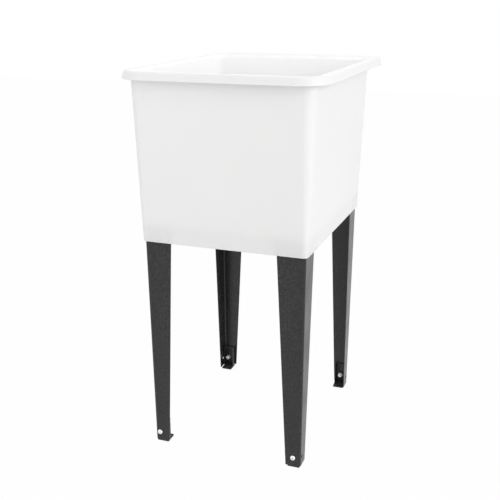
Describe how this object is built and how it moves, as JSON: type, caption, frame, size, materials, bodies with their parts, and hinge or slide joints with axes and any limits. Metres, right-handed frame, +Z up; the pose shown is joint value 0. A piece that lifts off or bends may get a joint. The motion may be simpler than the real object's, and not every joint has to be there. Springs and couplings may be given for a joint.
{
  "type": "utility laundry sink",
  "caption": "Free-standing deep white plastic laundry tub with a turned-down rim on tapered black angle legs with slotted levelling feet.",
  "frame": {"origin": "on the floor, under the middle of the rim's bounding box", "axes": "+X to the sink's right as seen from the front, +Y to the back deck, +Z up; the front faces -Y"},
  "size_m": [0.45, 0.59, 0.864],
  "materials": {
    "tub_plastic": "satin white moulded polypropylene",
    "leg_paint": "satin black paint on sheet steel",
    "foot_paint": "satin black paint on sheet steel",
    "zinc": "bright zinc plate",
    "drain_plastic": "white moulded plastic",
    "drain_rubber": "black rubber",
    "stopper_rubber": "black rubber",
    "stainless": "stainless steel"
  },
  "bodies": {
    "frame": {"tub": "tub_plastic", "leg_front_left": "leg_paint", "foot_screw_front_left": "zinc", "foot_washer_front_left": "zinc", "foot_nut_front_left": "zinc", "leg_front_right": "leg_paint", "foot_screw_front_right": "zinc", "foot_washer_front_right": "zinc", "foot_nut_front_right": "zinc", "leg_back_left": "leg_paint", "foot_screw_back_left": "zinc", "foot_washer_back_left": "zinc", "foot_nut_back_left": "zinc", "leg_back_right": "leg_paint", "foot_screw_back_right": "zinc", "foot_washer_back_right": "zinc", "foot_nut_back_right": "zinc", "drain_body": "drain_plastic", "drain_cross": "drain_plastic", "drain_gasket": "drain_rubber", "drain_friction_washer": "drain_plastic", "drain_lock_nut": "drain_plastic", "strainer_grid": "stainless", "strainer_screw": "stainless", "tailpiece_washer": "drain_rubber", "tailpiece": "drain_plastic", "coupling_nut": "drain_plastic"},
    "foot_front_left_body": {"foot_front_left": "foot_paint"},
    "foot_front_right_body": {"foot_front_right": "foot_paint"},
    "foot_back_left_body": {"foot_back_left": "foot_paint"},
    "foot_back_right_body": {"foot_back_right": "foot_paint"},
    "stopper_body": {"stopper": "stopper_rubber", "stopper_ring": "stainless"}
  },
  "joints": [
    {"name": "foot_front_left_slide", "type": "slide", "parent": "frame", "child": "foot_front_left_body", "axis": [0, 0, -1], "range_m": [0, 0.02]},
    {"name": "foot_front_right_slide", "type": "slide", "parent": "frame", "child": "foot_front_right_body", "axis": [0, 0, -1], "range_m": [0, 0.02]},
    {"name": "foot_back_left_slide", "type": "slide", "parent": "frame", "child": "foot_back_left_body", "axis": [0, 0, -1], "range_m": [0, 0.02]},
    {"name": "foot_back_right_slide", "type": "slide", "parent": "frame", "child": "foot_back_right_body", "axis": [0, 0, -1], "range_m": [0, 0.02]},
    {"name": "stopper_lift", "type": "slide", "parent": "frame", "child": "stopper_body", "axis": [0, 0, 1], "range_m": [0, 0.4]}
  ]
}
